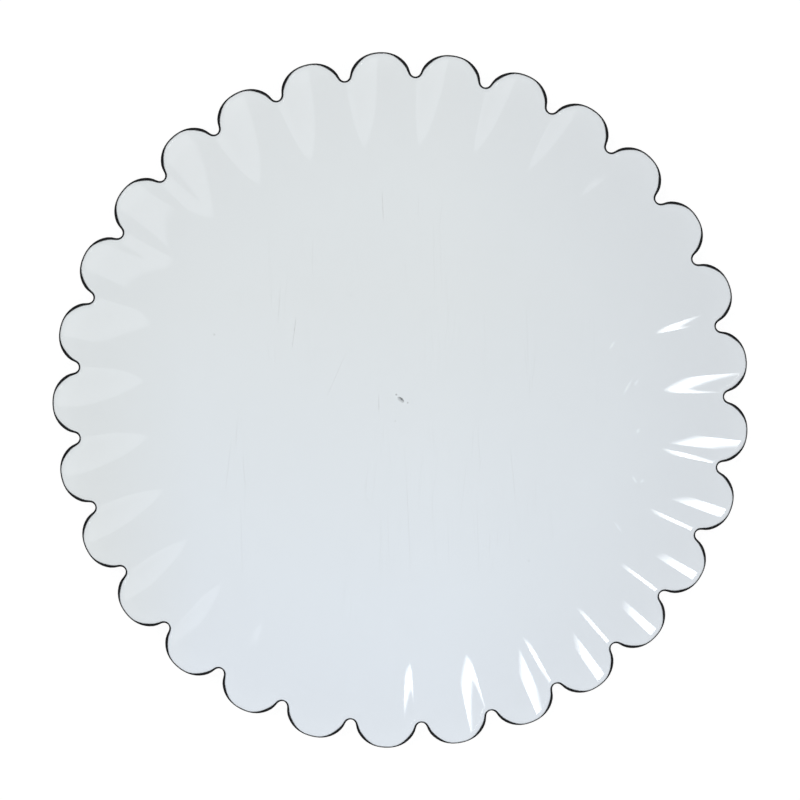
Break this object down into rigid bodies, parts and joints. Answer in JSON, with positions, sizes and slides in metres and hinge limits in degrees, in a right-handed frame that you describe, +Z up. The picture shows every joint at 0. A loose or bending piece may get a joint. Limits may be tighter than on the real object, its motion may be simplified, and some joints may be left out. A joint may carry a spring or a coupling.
{
  "type": "scalloped charger plate",
  "caption": "Clear moulded charger plate with a flat round well, a rising rim fluted into petal-like troughs, a scalloped edge and a dark line round that edge.",
  "frame": {"origin": "centre of the flat underside, on the axis of the plate", "axes": "+Z up out of the well, +X through one notch of the scalloped edge"},
  "size_m": [0.3291, 0.3294, 0.0159],
  "materials": {
    "clear_plastic": "clear, smooth and glossy, with a faint cool grey tint",
    "dark_edge": "near black, glossy"
  },
  "bodies": {
    "root": {"clear_plate": "clear_plastic", "edge_line": "dark_edge"}
  },
  "joints": []
}
